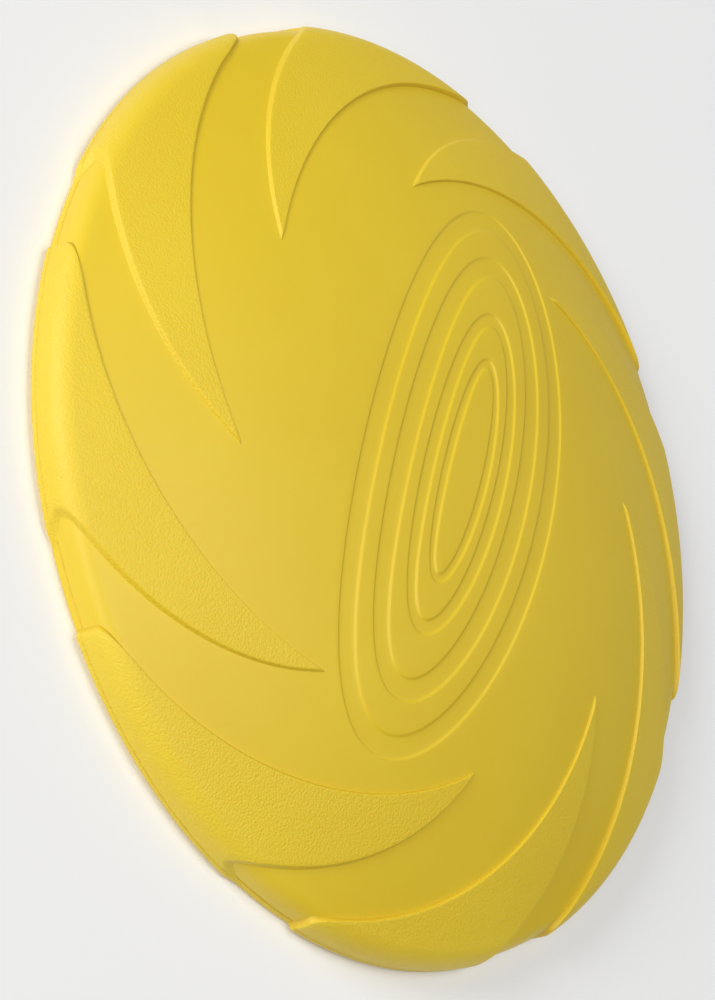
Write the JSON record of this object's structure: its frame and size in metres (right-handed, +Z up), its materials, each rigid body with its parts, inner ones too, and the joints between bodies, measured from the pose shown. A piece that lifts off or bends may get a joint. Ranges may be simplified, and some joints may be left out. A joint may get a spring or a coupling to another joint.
{
  "type": "flying disc",
  "caption": "Soft rubber flying disc for lawn games: closed shallow dome, thick grip rim, raised grained spiral vanes wrapping over the edge, sunken oval bands in the middle.",
  "frame": {"origin": "centre of the flat ring edge the disc lies on, at the base of the rim", "axes": "+Z up through the top of the dome; the tip of vane_1 points along -X and the vanes are numbered clockwise seen from above"},
  "size_m": [0.18, 0.18, 0.0235],
  "materials": {
    "smooth_rubber": "satin, soft yellow natural rubber",
    "grained_rubber": "matte, fine pebbled grain moulded in"
  },
  "bodies": {
    "root": {"deck": "smooth_rubber", "rim": "smooth_rubber", "vane_1": "grained_rubber", "vane_2": "grained_rubber", "vane_3": "grained_rubber", "vane_4": "grained_rubber", "vane_5": "grained_rubber", "vane_6": "grained_rubber", "vane_7": "grained_rubber", "vane_8": "grained_rubber"}
  },
  "joints": []
}
